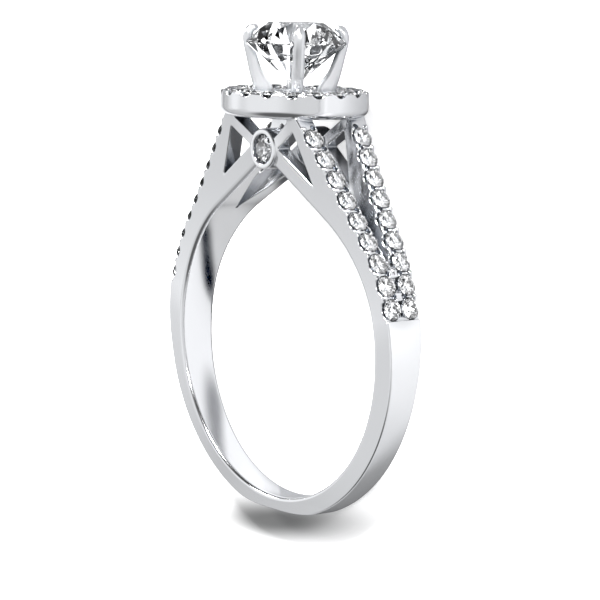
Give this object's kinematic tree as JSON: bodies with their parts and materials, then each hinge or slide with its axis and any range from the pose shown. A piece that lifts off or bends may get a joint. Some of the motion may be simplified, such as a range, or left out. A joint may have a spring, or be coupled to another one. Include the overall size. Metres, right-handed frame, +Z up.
{
  "type": "split shank halo ring",
  "caption": "Finger ring with a split shank, a claw-set round centre stone over a stone halo, and a pierced trellis gallery.",
  "frame": {"origin": "middle of the ring's footprint, on the floor that it lies on", "axes": "+Y runs from the foot of the band to the centre stone, +X across the shoulders, +Z up; the ring lies on its side, so its finger hole runs nearly along Z, leaning 7.5 degrees"},
  "size_m": [0.02, 0.0272, 0.0082],
  "materials": {
    "white_metal": "polished",
    "centre_stone": "cut and polished",
    "gallery_stone": "cut and polished",
    "shoulder_stone": "cut and polished"
  },
  "bodies": {
    "root": {"mount": "white_metal", "centre_stone": "centre_stone", "gallery_stone_front": "gallery_stone", "gallery_stone_back": "gallery_stone", "shoulder_stone_right_front_1": "shoulder_stone", "shoulder_stone_right_front_2": "shoulder_stone", "shoulder_stone_right_front_3": "shoulder_stone", "shoulder_stone_right_front_4": "shoulder_stone", "shoulder_stone_right_front_5": "shoulder_stone", "shoulder_stone_right_front_6": "shoulder_stone", "shoulder_stone_right_front_7": "shoulder_stone", "shoulder_stone_right_front_8": "shoulder_stone", "shoulder_stone_right_front_9": "shoulder_stone", "shoulder_stone_right_back_1": "shoulder_stone", "shoulder_stone_right_back_2": "shoulder_stone", "shoulder_stone_right_back_3": "shoulder_stone", "shoulder_stone_right_back_4": "shoulder_stone", "shoulder_stone_right_back_5": "shoulder_stone", "shoulder_stone_right_back_6": "shoulder_stone", "shoulder_stone_right_back_7": "shoulder_stone", "shoulder_stone_right_back_8": "shoulder_stone", "shoulder_stone_right_back_9": "shoulder_stone", "shoulder_stone_left_front_1": "shoulder_stone", "shoulder_stone_left_front_2": "shoulder_stone", "shoulder_stone_left_front_3": "shoulder_stone", "shoulder_stone_left_front_4": "shoulder_stone", "shoulder_stone_left_front_5": "shoulder_stone", "shoulder_stone_left_front_6": "shoulder_stone", "shoulder_stone_left_front_7": "shoulder_stone", "shoulder_stone_left_front_8": "shoulder_stone", "shoulder_stone_left_front_9": "shoulder_stone", "shoulder_stone_left_back_1": "shoulder_stone", "shoulder_stone_left_back_2": "shoulder_stone", "shoulder_stone_left_back_3": "shoulder_stone", "shoulder_stone_left_back_4": "shoulder_stone", "shoulder_stone_left_back_5": "shoulder_stone", "shoulder_stone_left_back_6": "shoulder_stone", "shoulder_stone_left_back_7": "shoulder_stone", "shoulder_stone_left_back_8": "shoulder_stone", "shoulder_stone_left_back_9": "shoulder_stone"}
  },
  "joints": []
}
